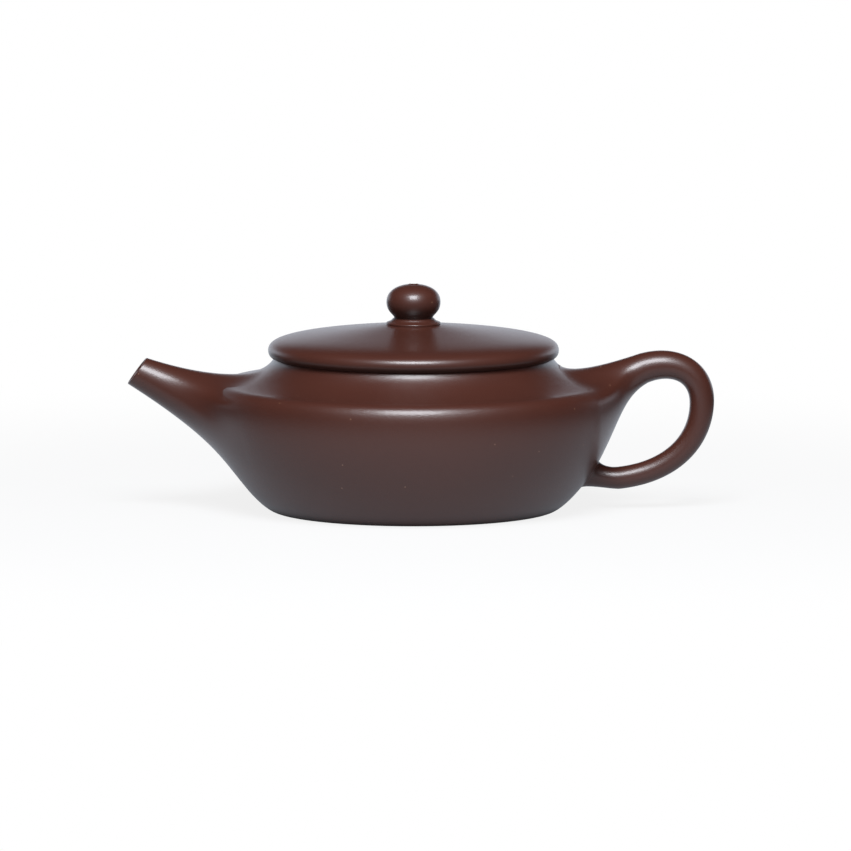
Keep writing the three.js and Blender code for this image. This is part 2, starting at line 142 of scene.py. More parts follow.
# Puts patches together as one closed mesh. Points that share a place become one vertex, and the
# patches' own normals are kept, so smooth stretches stay smooth and edges stay crisp.
def makePiece(name, patches, finishes, body, node):
    points, normals, quads, marks = [], [], [], []
    offset = 0
    for patchPoints, patchNormals, finish in patches:
        rows, columns = patchPoints.shape[:2]
        index = np.arange(rows * columns).reshape(rows, columns)
        quad = np.stack([index[:-1, :-1], index[:-1, 1:], index[1:, 1:], index[1:, :-1]], -1)
        quad = quad.reshape(-1, 4)
        p, n = patchPoints.reshape(-1, 3), patchNormals.reshape(-1, 3)
        facing = np.cross(p[quad[:, 2]] - p[quad[:, 0]], p[quad[:, 3]] - p[quad[:, 1]])
        if (facing * n[quad].sum(1)).sum() < 0:
            quad = quad[:, ::-1]
        points.append(p)
        normals.append(n)
        quads.append(quad + offset)
        marks.append(np.full(len(quad), finish))
        offset += len(p)
    points, normals, quads, marks = (np.concatenate(x) for x in (points, normals, quads, marks))
    spots, where = np.unique(np.round(points, weldDigits), axis=0, return_inverse=True)
    corners = where.reshape(-1)[quads]

    # A quad whose corners meet keeps its other three, and is left out if only two remain.
    kept = corners != np.roll(corners, -1, axis=1)
    whole = kept.sum(1) > 2
    kept = kept[whole]
    loops = corners[whole][kept]
    loopNormals = normals[quads[whole][kept]]
    sizes = kept.sum(1)
    starts = np.concatenate([[0], np.cumsum(sizes)[:-1]])
    mesh = bpy.data.meshes.new(name)
    mesh.vertices.add(len(spots))
    mesh.vertices.foreach_set("co", (spots * metre).ravel())
    mesh.loops.add(len(loops))
    mesh.loops.foreach_set("vertex_index", loops.astype(np.int32))
    mesh.polygons.add(len(sizes))
    mesh.polygons.foreach_set("loop_start", starts.astype(np.int32))
    mesh.polygons.foreach_set("material_index", marks[whole].astype(np.int32))
    mesh.polygons.foreach_set("use_smooth", np.ones(len(sizes), bool))
    mesh.update(calc_edges=True)
    for finish in finishes:
        mesh.materials.append(finish)
    mesh.normals_split_custom_set(loopNormals)
    piece = addObject(name, mesh)
    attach(piece, body)
    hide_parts(node)
    print(f"{name}: {int((sizes - 2).sum())} triangles")


# Shader nodes as Python expressions: a Socket adds the Math nodes that its operators stand for.

class Socket:
    def __init__(self, tree, link=None):
        self.tree = tree
        self.link = link

    # One node of any type. Settings are set first, then its inputs, by name or number.
    def node(self, kind, settings=None, inputs=None, output=0):
        made = self.tree.nodes.new(kind)
        for key, value in (settings or {}).items():
            if key == "stops":
                ramp = made.color_ramp
                while len(ramp.elements) < len(value):
                    ramp.elements.new(1.0)
                for element, (place, colour) in zip(ramp.elements, value):
                    element.position = place
                    element.color = colour
            else:
                setattr(made, key, value)
        for key, value in (inputs or {}).items():
            if isinstance(value, Socket):
                self.tree.links.new(value.link, made.inputs[key])
            else:
                made.inputs[key].default_value = value
        return Socket(self.tree, made.outputs[output] if len(made.outputs) else None)

    def maths(self, operation, first, second):
        return self.node("ShaderNodeMath", {"operation": operation}, {0: first, 1: second})

    def __add__(self, other):
        return self.maths("ADD", self, other)

    def __radd__(self, other):
        return self.maths("ADD", other, self)

    def __sub__(self, other):
        return self.maths("SUBTRACT", self, other)

    def __rsub__(self, other):
        return self.maths("SUBTRACT", other, self)

    def __mul__(self, other):
        return self.maths("MULTIPLY", self, other)

    def __rmul__(self, other):
        return self.maths("MULTIPLY", other, self)

    def __truediv__(self, other):
        return self.maths("DIVIDE", self, other)

    def __rtruediv__(self, other):
        return self.maths("DIVIDE", other, self)

    def __pow__(self, other):
        return self.maths("POWER", self, other)

    def __rpow__(self, other):
        return self.maths("POWER", other, self)

    def __lt__(self, other):
        return self.maths("LESS_THAN", self, other)

    def __gt__(self, other):
        return self.maths("GREATER_THAN", self, other)

    def largest(self, other):
        return self.maths("MAXIMUM", self, other)

    # X, Y or Z of a place or a direction.
    def along(self, axis):
        return self.node("ShaderNodeSeparateXYZ", None, {0: self}, axis)

    # A smooth step from start to end, while this value goes from low to high.
    def fade(self, low, high, start, end):
        span = {0: self, 1: low, 2: high, 3: start, 4: end}
        return self.node("ShaderNodeMapRange", {"interpolation_type": "SMOOTHSTEP"}, span)

    # The first colour where this value is 0, the second where it is 1.
    def between(self, first, second):
        return self.node("ShaderNodeMix", {"data_type": "RGBA"}, {0: self, 6: first, 7: second}, 2)

    def ray(self, kind):
        return self.node("ShaderNodeLightPath", output=kind)


# The empty node tree of a material or a world.
def emptyTree(owner):
    owner.use_nodes = True
    owner.node_tree.nodes.clear()
    return Socket(owner.node_tree)


# The burnished purple clay. Lengths are in metres. The specks' radius is a part of their pitch, and
# their share is that of the cells with a speck. The last entry paints shade: given (low, high, share),
# the clay has this share of its colour and polish below the height low, and all of it above high.
clayLook = {
    "colour": (0.096, 0.0272, 0.0170, 1),
    "deepColour": (0.084, 0.0238, 0.0150, 1),
    "mottle": {"size": 0.018, "detail": 4.0},
    "grain": {"size": 0.00042, "detail": 2.0},
    "fineGrain": {"size": 0.00018, "detail": 1.0},
    "fineShare": 0.4,
    "grainHeight": 0.000022,
    "roughness": 0.37,
    "roughnessSpread": 0.05,
    "polish": 0.42,
    "polishRoughness": 0.21,
    "ior": 1.55,
    "specular": 0.8,
    "speckPitch": 0.0024,
    "speckRadius": 0.085,
    "speckShare": 0.10,
    "speckStrength": 0.7,
    "speckColour": (0.36, 0.19, 0.12, 1),
    "dark": None,
}


# Noise mixes two depths of the colour, cells of clay grit show as pale specks, and fine noise lifts the
# surface and spreads its gloss. A finish gives its own values for what differs.
def clay(name, **own):
    look = {**clayLook, **own}
    material = bpy.data.materials.new(name)
    start = emptyTree(material)
    place = start.node("ShaderNodeTexCoord", output="Object")

    def noise(size, detail):
        pattern = {"Vector": place, "Scale": 1 / size, "Detail": detail}
        return start.node("ShaderNodeTexNoise", None, pattern)

    mottle = noise(**look["mottle"])
    grain = noise(**look["grain"])
    fine = noise(**look["fineGrain"])
    cells = {"Vector": place, "Scale": 1 / look["speckPitch"]}
    middle = start.node("ShaderNodeTexVoronoi", None, cells)
    pick = start.node("ShaderNodeTexVoronoi", None, cells, "Color")
    pick = start.node("ShaderNodeSeparateColor", None, {0: pick})
    speck = (middle < look["speckRadius"]) * (pick < look["speckShare"])
    colour = mottle.between(look["deepColour"], look["colour"])
    colour = (speck * look["speckStrength"]).between(colour, look["speckColour"])
    polish = look["polish"]
    # Painted shade: the clay's colour and polish are darkened below a height.
    if look["dark"]:
        low, high, share = look["dark"]
        shade = place.along("Z").fade(low, high, share, 1.0)
        colour = shade.between((0, 0, 0, 1), colour)
        polish = shade * polish
    spread = look["roughnessSpread"]
    roughness = look["roughness"] + (grain - 0.5) * (2 * spread) + (mottle - 0.5) * spread
    relief = grain + fine * look["fineShare"]
    bump = start.node("ShaderNodeBump", None, {"Distance": look["grainHeight"], "Height": relief})
    shader = start.node(
        "ShaderNodeBsdfPrincipled", None,
        {
            "Base Color": colour, "Roughness": roughness,
            "IOR": look["ior"], "Specular IOR Level": look["specular"],
            "Coat Weight": polish, "Coat Roughness": look["polishRoughness"], "Normal": bump,
        },
    )
    start.node("ShaderNodeOutputMaterial", None, {"Surface": shader})
    return material


burnished = clay("burnishedClay")
beaten = clay("beatenClay", grainHeight=0.000062)
# The lid's clay has painted shade under the rim.
lidClay = clay("lidClay", dark=(0.0417, 0.0437, 0.15))  # dark under the rim
# The knob's clay has painted shade below the waist.
polished = clay(
    "polishedKnobClay", roughness=0.38, grainHeight=0.000003, polish=0.45, polishRoughness=0.14,
    dark=(0.0530, 0.0572, 0.22),  # dark below the waist
)
worn = clay("wornLipClay", roughness=0.55, grainHeight=0.000002, polish=0.0)
raw = clay(
    "rawInnerClay", roughness=0.72, grainHeight=0.00003, polish=0.0,
    colour=(0.115, 0.042, 0.030, 1), deepColour=(0.095, 0.033, 0.024, 1),
)
print("clay mixed")


# The pot's outside, shared by its members and by the roots of the spout and the handle. All shapes are
# in millimetres and degrees.
potShape = {
    "footRadius": 37.8,
    "footPull": 3.3,
    "bellyHeight": 29.4,
    "bellyPull": 14.8,
    "ridgeRise": 5.14,
    "ridgePullLow": 4.0,
    "ridgePullTop": 2.0,
    "shoulderAngle": 6.0,
    "shoulderRun": 12.9,
    "shoulderPull": 2.0,
    "neckAngle": 27.0,
    "neckPull": 4.7,
    "seatWidth": 2.9,
    "mouthRadius": 35.0,
    "edgeRound": 0.6,
    "wall": 2.6,
    "baseSeamHeight": 7.3,
    "mouthSeamDrop": 1.5,
    "samples": 1200,
}
wall = potShape["wall"]
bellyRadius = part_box("body_wall")[1].y / metre
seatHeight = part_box("mouth_ring")[1].z / metre
neckRadius = potShape["mouthRadius"] + potShape["seatWidth"]
neckTop = seatHeight - potShape["edgeRound"]
ridgeRadius = neckRadius + potShape["shoulderRun"]
ridgeHeight = potShape["bellyHeight"] + potShape["ridgeRise"]


# Three cubic Beziers: foot to belly, belly over the ridge, and shoulder to neck.
def potOutline():
    p = potShape
    slope, lean = math.radians(p["shoulderAngle"]), math.radians(p["neckAngle"])
    shoulder = np.array([math.cos(slope), -math.sin(slope)])
    neck = np.array([math.sin(lean), -math.cos(lean)])
    foot, belly = np.array([p["footRadius"], 0]), np.array([bellyRadius, p["bellyHeight"]])
    ridge, top = np.array([ridgeRadius, ridgeHeight]), np.array([neckRadius, neckTop])
    arcs = [
        (foot, foot + [p["footPull"], 0], belly - [0, p["bellyPull"]], belly),
        (belly, belly + [0, p["ridgePullLow"]], ridge + shoulder * p["ridgePullTop"], ridge),
        (ridge, ridge - shoulder * p["shoulderPull"], top + neck * p["neckPull"], top),
    ]
    t = steps(p["samples"])
    line = np.vstack([foot, *(bezier(controls, t)[1:] for controls in arcs)])
    ends = lengthsAlong(line)
    return ends / ends[-1], stretchOf(line)


outlineShares, outlineRows = potOutline()


# The outline's row at a share of its length, lifted off along its normal.
def outlineAt(share, lift=0.0):
    rows = np.stack([np.interp(share, outlineShares, column) for column in outlineRows.T], -1)
    rows[..., 0] += lift * rows[..., 2]
    rows[..., 1] += lift * rows[..., 3]
    return rows


def shareAt(height):
    return np.interp(height, outlineRows[:, 1], outlineShares)


# A place on the pot's skin by its share of the outline and its angle, and the normal there:
# (r cos a, r sin a, z), with r and z lifted off the outline.
def skin(share, angle, lift=0.0):
    share, angle = np.broadcast_arrays(share, angle)
    r, z, nr, nz = np.moveaxis(outlineAt(share, lift), -1, 0)
    c, s = np.cos(angle), np.sin(angle)
    return np.stack([r * c, r * s, z], -1), np.stack([nr * c, nr * s, nz], -1)


baseSeam = shareAt(potShape["baseSeamHeight"])
shoulderSeam = shareAt(ridgeHeight)
mouthSeam = shareAt(neckTop - potShape["mouthSeamDrop"])


# Rows of the outline between two shares of it, and the same a wall's thickness inside, facing in.
def outside(start, end, count):
    return outlineAt(mixed(start, end, steps(count)))


def inside(start, end, count):
    rows = outlineAt(mixed(start, end, steps(count)), -wall)
    rows[:, 2:] *= -1
    return rows


# The straight face where two members meet, from the outside in or from the inside out.
def seamFace(share, inwards):
    ends = [outlineAt(share)[:2], outlineAt(share, -wall)[:2]]
    return stretchOf(np.array(ends if inwards else ends[::-1]))


# Base: the foot ring stands on the table round a pressed-in middle.
baseShape = {
    "footBand": 5.0, "recessDepth": 0.8, "recessFlare": 3.0, "recessRound": 1.4,
    "floor": 3.0, "cornerOut": 0.5, "cornerRound": 3.5, "rows": 60,
}


# Turned: a rounded line under the foot, the outline up to the seam, the seam, and a rounded line
# inside.
def makeBase():
    b = baseShape
    foot = potShape["footRadius"]
    bandInside = foot - b["footBand"]
    floorTop = b["floor"] + b["recessDepth"]
    under = rounded([
        (0, b["recessDepth"], 0),
        (bandInside - b["recessFlare"], b["recessDepth"], b["recessRound"]),
        (bandInside, 0, b["recessRound"]),
        (foot, 0, 0),
    ])
    seam = outlineAt(baseSeam, -wall)
    corner = outlineAt(shareAt(floorTop + wall / 2), -wall)
    inner = rounded([
        (seam[0], seam[1], 0),
        (corner[0] + b["cornerOut"], floorTop, b["cornerRound"]),
        (0, floorTop, 0),
    ])
    outer = turned([stretchOf(under), outside(0, baseSeam, b["rows"])])
    return outer + turned([seamFace(baseSeam, True), stretchOf(inner)], 1)


makePiece("base_disc_clay", makeBase(), [burnished, raw], "pot", "base_disc")


# Wall and shoulder, turned: the outline, and the same a wall's thickness inside, joined by the seams.
# The wall is whole where the spout sits: the strainer hides that place.
def makeBand(low, high, outerRows, innerRows):
    inner = [seamFace(high, True), inside(high, low, innerRows), seamFace(low, False)]
    return turned([outside(low, high, outerRows)]) + turned(inner, 1)


wallBand = makeBand(baseSeam, shoulderSeam, outerRows=150, innerRows=80)
makePiece("body_wall_clay", wallBand, [beaten, raw], "pot", "body_wall")
shoulderBand = makeBand(shoulderSeam, mouthSeam, outerRows=60, innerRows=40)
makePiece("shoulder_disc_clay", shoulderBand, [beaten, raw], "pot", "shoulder_disc")


# Mouth ring: the end of the neck, the flat seat for the lid, and a short skirt inside.
mouthShape = {"skirt": 2.0, "skirtRound": 0.4, "crispRound": 0.15, "rows": 24}


# Turned: the outline's end, and a rounded line over the seat and down the skirt.
def makeMouth():
    m = mouthShape
    mouth = potShape["mouthRadius"]
    seam = outlineAt(mouthSeam, -wall)
    low = seam[1] - m["skirt"]
    lean = math.tan(math.radians(potShape["neckAngle"])) * (seatHeight - neckTop)
    seat = rounded([
        (neckRadius, neckTop, 0),
        (neckRadius - lean, seatHeight, m["crispRound"]),
        (mouth, seatHeight, potShape["edgeRound"]),
        (mouth, low, m["skirtRound"]),
        (seam[0], low, 0),
    ])
    under = np.array([[seam[0], low], [seam[0], seam[1]]])
    outer = turned([outside(mouthSeam, 1.0, m["rows"]), stretchOf(seat)])
    return outer + turned([stretchOf(under), seamFace(mouthSeam, False)], 1)


makePiece("mouth_ring_clay", makeMouth(), [beaten, raw], "pot", "mouth_ring")


# Roots: an oval rim on the pot's skin, from which lines leave along the skin and bend to a far ring.
rootSink = 0.015  # how far a rim lies under the pot's skin, so that no edge shows
rimShare = 0.99  # a ring this much smaller than the rim gives the way out of it


# A root between two heights on the skin, at an angle; turn is the way round that its ring runs.
def rootAt(angle, turn, top, low, halfWidth, egg=0.0):
    shareTop, shareLow = shareAt(top), shareAt(low)
    return {
        "angle": angle, "turn": turn, "egg": egg, "halfAngle": math.asin(halfWidth / bellyRadius),
        "middle": (shareTop + shareLow) / 2, "halfLength": (shareTop - shareLow) / 2,
    }


# Round the rim the share of the outline is middle + halfLength cos phi, and the angle is
# angle + turn halfAngle sin phi (1 - egg cos phi). A size below 1 gives a smaller ring.
def rootPlaces(root, phi, size):
    width = root["halfAngle"] * np.sin(phi) * (1 - root["egg"] * np.cos(phi))
    share = root["middle"] + size * root["halfLength"] * np.cos(phi)
    return share, root["angle"] + root["turn"] * size * width


# A ring's points, each the mean of its neighbours up to reach of the ring away on both sides, weighted
# by 1 + cos of their distance.
def eased(ring, reach):
    count = len(ring) - 1
    span = int(reach * count)
    offsets = np.arange(-span, span + 1)
    near = np.arange(count)[:, None] + offsets
    weight = (1 + np.cos(np.pi * offsets / (span + 1)))[:, None]
    means = (ring[near % count] * weight).sum(1) / weight.sum()
    return np.concatenate([means, means[:1]])


# Bezier lines from the rim to the far ring: the first pull lies in the skin, the last one in farWays.
# Each pull mixes its top and low lengths by the height on the rim, and the sides add their own.
def flare(root, phi, farRing, farWays, pulls, t):
    rim, rimNormals = skin(*rootPlaces(root, phi, 1.0), -rootSink)
    near = skin(*rootPlaces(root, phi, rimShare), -rootSink)[0]
    upper = ((1 + np.cos(phi)) / 2)[:, None]
    side = (np.sin(phi) ** 2 * (1 - pulls["skew"] * np.cos(phi)))[:, None]
    start = unit(near - rim) * (mixed(pulls["low"], pulls["top"], upper) + pulls["side"] * side)
    end = unit(farWays) * (mixed(pulls["endLow"], pulls["endTop"], upper) + pulls["endSide"] * side)
    controls = [rim, eased(rim + start, pulls["ease"]), farRing - end, farRing]
    return bezier(controls, t[:, None]), rimNormals


# An oval ring in the plane of the Y axis and a direction in the XZ plane: centre + height cos phi along
# that direction + width sin phi along Y.
def ovalRing(centre, along, halfHeight, halfWidth, phi):
    sideways = np.array([0.0, 1.0, 0.0])
    c, s = np.cos(phi)[..., None], np.sin(phi)[..., None]
    return centre + halfHeight * c * along + halfWidth * s * sideways


# Spout: a hollow taper whose root spreads over the wall, cut off across the tip.
spoutShape = {
    "reach": 19.85, "tipDrop": 3.68, "tipRadius": 4.32, "rise": 22.9, "cut": 53.7,
    "taperTop": 0.09, "taperLow": 0.171,
    "rootTop": 2.9, "rootLow": 3.6, "rootHalfWidth": 31.0, "rootEgg": 0.3,
    "pulls": {
        "top": 4.0, "low": 11.5, "side": 9.5, "endTop": 17.9, "endLow": 30.5, "endSide": -3.0,
        "skew": 0.75, "ease": 0.08,
    },
    "wall": 1.5, "lipRound": 0.3, "wornFrom": 6,
    "passageHeight": 26.0, "passageRadius": 5.0,
    "boreBendIn": 7.0, "boreBendOut": 12.0, "boreEnd": 0.1, "boreClear": 0.4,
    "sides": 160, "rows": 150, "rowCrowding": 1.15, "lipRows": 8, "boreRows": 60, "seatRows": 12,
}


# The skin is a flare from the rim to the tip's ring, less its lip. The bore is a row of ovals along a
# bent centre line, and the seat between bore and rim lies on the pot's skin.
def makeSpout():
    s = spoutShape
    phi = circle(s["sides"])
    rise, cut = math.radians(s["rise"]), math.radians(s["cut"])
    tip = np.array([-bellyRadius - s["reach"], 0, seatHeight - s["tipDrop"]])
    along = np.array([math.cos(cut), 0, math.sin(cut)])
    inward = np.array([along[2], 0, -along[0]])
    axis = np.array([-math.cos(rise), 0, math.sin(rise)])
    root = rootAt(
        math.pi, -1, seatHeight - s["rootTop"], s["rootLow"], s["rootHalfWidth"], s["rootEgg"]
    )
    edge = ovalRing(tip, along, s["tipRadius"], s["tipRadius"], phi)
    taper = mixed(s["taperLow"], s["taperTop"], ((1 + np.cos(phi)) / 2)[:, None])
    ways = unit(axis - taper * unit(edge - tip))
    skinEnd = edge - ways * s["lipRound"]
    rows = steps(s["rows"]) ** s["rowCrowding"]
    outer, rimNormals = flare(root, phi, skinEnd, ways, s["pulls"], rows)

    # The lip rounds over at both edges of the cut, and its clay is worn from partway round the first.
    innerRadius = s["tipRadius"] - s["wall"]
    innerEdge = ovalRing(tip, along, innerRadius, innerRadius, phi)
    across = unit(innerEdge - edge) * s["lipRound"]
    boreStart = innerEdge + inward * s["lipRound"]
    q = steps(s["lipRows"])[1:, None, None]
    overOuter = arc(skinEnd, edge, edge + across, q)
    overInner = arc(innerEdge - across, innerEdge, boreStart, q)
    skinGrid = np.concatenate([outer, overOuter, (innerEdge - across)[None], overInner])
    skinNormals = gridNormals(skinGrid, sureRow, (0, 0, 1))
    skinNormals[0] = rimNormals
    lip = len(outer) + s["wornFrom"]

    # The bore's ovals turn from the cut to upright, and stop clear of the passage's ring on the skin.
    wallInside = np.array([-bellyRadius + wall, 0, s["passageHeight"]])
    centreLine = [wallInside, wallInside - [s["boreBendIn"], 0, 0], tip - axis * s["boreBendOut"], tip]
    lipEnd = 1 - s["lipRound"] / (3 * s["boreBendOut"])
    v = mixed(lipEnd, s["boreEnd"], steps(s["boreRows"]))[:, None]
    radius = mixed(s["passageRadius"], innerRadius, v)[..., None]
    lean = mixed(math.pi / 2, cut, v)
    leaning = np.stack([np.cos(lean), 0 * lean, np.sin(lean)], -1)
    bore = ovalRing(bezier(centreLine, v), leaning, radius, radius, phi)
    bore[0] = boreStart
    passY = s["passageRadius"] * np.sin(phi)
    passShare = shareAt(s["passageHeight"] + s["passageRadius"] * np.cos(phi))
    passAngle = math.pi - np.arcsin(passY / outlineAt(passShare, -rootSink)[:, 0])
    passRing = skin(passShare, passAngle, -rootSink)[0]
    clear = bore[:, 0, 0] < passRing[:, 0].min() - s["boreClear"]
    bore = np.concatenate([bore[clear], passRing[None]])
    boreNormals = gridNormals(bore, sureRow, (0, 0, -1))

    # The end that lies against the pot.
    rimShares, rimAngles = rootPlaces(root, phi, 1.0)
    w = steps(s["seatRows"])[:, None]
    seat, seatNormals = skin(mixed(passShare, rimShares, w), mixed(passAngle, rimAngles, w), -rootSink)
    return [
        (skinGrid[: lip + 1], skinNormals[: lip + 1], 0),
        (skinGrid[lip:], skinNormals[lip:], 2),
        (bore, boreNormals, 1),
        (seat, -seatNormals, 1),
    ]


makePiece("spout_clay", makeSpout(), [burnished, raw, worn], "pot", "spout")


# Handle: a round roll of clay, thickest at the top, luted to the shoulder and to the belly.
handleShape = {
    "reach": 23.05, "backDrop": 0.15, "topOut": 7.3, "topDrop": 3.0, "topRise": 18.6,
    "lowOut": 0.8, "lowHeight": 8.5, "lowFall": 6.6,
    "topPull": 9.0, "backPullUp": 8.1, "backPullDown": 10.0, "lowPull": 15.1,
    "radii": (4.1, 3.15, 3.02, 3.0), "widthRatio": 1.08,
    "rootTop": 2.1, "rootLow": 14.2, "rootHalfWidth": 22.0, "rootFlare": 0.18,
    "rootPulls": {
        "top": 4.0, "low": 11.0, "side": 8.0, "endTop": 8.5, "endLow": 7.5, "endSide": -1.5,
        "skew": 0.4, "ease": 0.04,
    },
    "footTop": 13.4, "footLow": 5.6, "footHalfWidth": 4.7,
    "footPulls": {
        "top": 1.8, "low": 0.9, "side": -0.5, "endTop": 2.4, "endLow": 3.2, "endSide": 0.0,
        "skew": 0.0, "ease": 0.0,
    },
    "sides": 96, "arcRows": 90, "rootRows": 60, "endRows": 8,
}


# Ovals along two Beziers, with a radius that is a Bezier of the radii, and a flare at each end.
def makeHandle():
    h = handleShape
    phi = circle(h["sides"])
    rise, fall = math.radians(h["topRise"]), math.radians(h["lowFall"])
    top = np.array([bellyRadius + h["topOut"], 0, seatHeight - h["topDrop"]])
    back = np.array([bellyRadius + h["reach"], 0, potShape["bellyHeight"] - h["backDrop"]])
    low = np.array([bellyRadius + h["lowOut"], 0, h["lowHeight"]])
    topWay = np.array([math.cos(rise), 0, math.sin(rise)])
    lowWay = np.array([-math.cos(fall), 0, -math.sin(fall)])
    up = np.array([0, 0, 1.0])
    t = steps(h["arcRows"])
    upperArc = bezier([top, top + topWay * h["topPull"], back + up * h["backPullUp"], back], t)
    lowerArc = bezier([back, back - up * h["backPullDown"], low - lowWay * h["lowPull"], low], t)
    line = np.concatenate([upperArc, lowerArc[1:]])
    ways = unit(np.gradient(line, axis=0))
    ways[0], ways[-1] = topWay, lowWay
    run = lengthsAlong(line)
    radius = bezier([[r] for r in h["radii"]], run / run[-1])[:, :, None]
    outward = np.stack([-ways[:, 2], 0 * ways[:, 0], ways[:, 0]], -1)[:, None]
    roll = ovalRing(line[:, None], outward, radius, radius * h["widthRatio"], phi)

    rows = steps(h["rootRows"])
    shoulderRoot = rootAt(0, 1, seatHeight - h["rootTop"], h["rootLow"], h["rootHalfWidth"])
    lower = ((1 - np.cos(phi)) / 2)[:, None]
    topWays = topWay - h["rootFlare"] * lower * unit(roll[0] - top)
    upperFlare, upperNormals = flare(shoulderRoot, phi, roll[0], topWays, h["rootPulls"], rows)
    bellyRoot = rootAt(0, 1, h["footTop"], h["footLow"], h["footHalfWidth"])
    bellyRoot["halfLength"] *= -1  # the roll has turned over on its way down
    lowWays = -lowWay + 0 * roll[-1]
    lowerFlare, lowerNormals = flare(bellyRoot, phi, roll[-1], lowWays, h["footPulls"], rows)

    grid = np.concatenate([upperFlare[:-1], roll, lowerFlare[::-1][1:]])
    normals = gridNormals(grid, len(upperFlare) + sureRow, up)
    normals[0], normals[-1] = upperNormals, lowerNormals
    w = steps(h["endRows"])[:, None]
    ends = []
    for root in (shoulderRoot, bellyRoot):
        points, endNormals = skin(*rootPlaces(root, phi, w), -rootSink)
        ends.append((points, -endNormals, 1))
    return [(grid, normals, 0), *ends]


makePiece("handle_clay", makeHandle(), [burnished, raw], "pot", "handle")


# Lid: a thin dome with a soft rim that overhangs the neck. Its flange is a ring inside the mouth.
lidShape = {
    "rimHalf": 1.9, "rimTuck": 1.6, "rimPull": 1.0, "rimRound": 3.8,
    "landRound": 25.3, "landFall": 0.136,
    "thickness": 3.4, "vent": 0.6, "ventRound": 0.15, "ventFlat": 1.0,
    "ceilingIn": 0.5, "ceilingOut": 1.0, "ceilingClear": 0.6,
    "underRows": 30, "domeRows": 150, "rowCrowding": 1.3,
}
flangeShape = {"thickness": 2.4, "edgeRound": 0.7}
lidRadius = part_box("lid_disc")[1].y / metre
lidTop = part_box("lid_disc")[1].z / metre
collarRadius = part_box("knob_collar")[1].y / metre
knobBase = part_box("knob_collar")[1].z / metre
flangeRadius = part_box("lid_flange")[1].y / metre
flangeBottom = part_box("lid_flange")[0].z / metre
flangeBore = flangeRadius - flangeShape["thickness"]
vent = lidShape["vent"]


# Turned: a Bezier under the rim, one over the dome, a rounded line down the vent, and the dome again,
# lowered by the thickness, as the ceiling.
def makeLid():
    lid = lidShape
    rimHeight = seatHeight + lid["rimHalf"]
    tuck = lidRadius - lid["rimTuck"]
    rimEnd = (lidRadius, rimHeight)
    under = bezier(
        [(tuck, seatHeight), (tuck + lid["rimPull"], seatHeight),
         (lidRadius, rimHeight - lid["rimPull"]), rimEnd],
        steps(lid["underRows"]),
    )
    landEdge = (collarRadius + lid["landRound"], lidTop - lid["landFall"] * lid["landRound"])
    dome = bezier(
        [rimEnd, (lidRadius, rimHeight + lid["rimRound"]), landEdge, (collarRadius, lidTop)],
        steps(lid["domeRows"]) ** lid["rowCrowding"],
    )
    ventEnd = lidTop - lid["thickness"]
    flatEdge = vent + lid["ventFlat"]
    land = rounded([
        (collarRadius, lidTop, 0),
        (vent, lidTop, lid["ventRound"]),
        (vent, ventEnd, lid["ventRound"]),
        (flatEdge, ventEnd, 0),
    ])
    ceiling = dome[::-1] - [0, lid["thickness"]]
    r, z = ceiling.T
    beyondVent = (r > flatEdge + lid["ceilingIn"]) & (r < flangeBore - lid["ceilingOut"])
    ceiling = ceiling[beyondVent & (z > seatHeight + lid["ceilingClear"])]
    ceiling = np.vstack([land[-1:], ceiling, [[flangeBore, seatHeight]]])
    seat = np.array([[flangeBore, seatHeight], [tuck, seatHeight]])
    rim = stretchOf(np.vstack([under, dome[1:]]))
    return turned([rim, stretchOf(land)]) + turned([stretchOf(ceiling), stretchOf(seat)], 1)


makePiece("lid_disc_clay", makeLid(), [lidClay, raw], "lid", "lid_disc")


# Turned: a rounded line down the bore, round the lower edge and up the outside, and a flat top.
def makeFlange():
    ring = rounded([
        (flangeBore, seatHeight, 0), (flangeBore, flangeBottom, flangeShape["edgeRound"]),
        (flangeRadius, flangeBottom, flangeShape["edgeRound"]), (flangeRadius, seatHeight, 0),
    ])
    top = np.array([[flangeRadius, seatHeight], [flangeBore, seatHeight]])
    return turned([stretchOf(ring), stretchOf(top)])


makePiece("lid_flange_clay", makeFlange(), [raw], "lid", "lid_flange")


# Collar: its upright edge stands on the lid, its slope runs up to a soft bead, and the knob sits on it.
collarShape = {
    "neck": 5.2, "footIn": 0.15, "footRound": 0.1, "edge": 0.55, "edgeRound": 0.22,
    "bank": 0.42, "bankOut": 0.5, "bankUp": 0.35, "bankRound": 0.42,
    "bead": 0.35, "beadDrop": 0.08, "beadRound": 0.28, "sides": 192,
}


# Turned: one rounded line from the vent out and up to the neck, the knob's rest, and the vent's bore.
def makeCollar():
    c = collarShape
    neck = c["neck"]
    beadEdge = neck + c["bead"]
    bankHeight = lidTop + (knobBase - lidTop) * c["bank"] + c["bankUp"]
    line = rounded([
        (vent, lidTop, 0),
        (collarRadius - c["footIn"], lidTop, c["footRound"]),
        (collarRadius, lidTop + c["edge"], c["edgeRound"]),
        (beadEdge + c["bankOut"], bankHeight, c["bankRound"]),
        (beadEdge, knobBase - c["beadDrop"], c["beadRound"]),
        (neck, knobBase, 0),
    ])
    rest = np.array([[neck, knobBase], [vent, knobBase]])
    bore = np.array([[vent, knobBase], [vent, lidTop]])
    return turned([stretchOf(x) for x in (line, rest, bore)], 0, c["sides"])


makePiece("knob_collar_clay", makeCollar(), [burnished], "lid", "knob_collar")


# Knob: a flattened ball whose top rises to the vent, between two soft lips of pushed-up clay.
knobShape = {
    "underside": 4.3, "pullNeck": 0.9, "pullLow": 2.7, "pullHigh": 2.9,
    "pullCrown": 3.4, "crownSlope": 6.0, "crownDrop": 0.2, "lipFoot": 1.4,
    "lipHeight": 0.2, "lipRadius": 0.95, "lipWidth": 0.35, "notch": 0.35,
    "sides": 192, "lowRows": 60, "highRows": 90, "topRows": 20,
}
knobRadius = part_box("knob")[1].y / metre
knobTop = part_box("knob")[1].z / metre


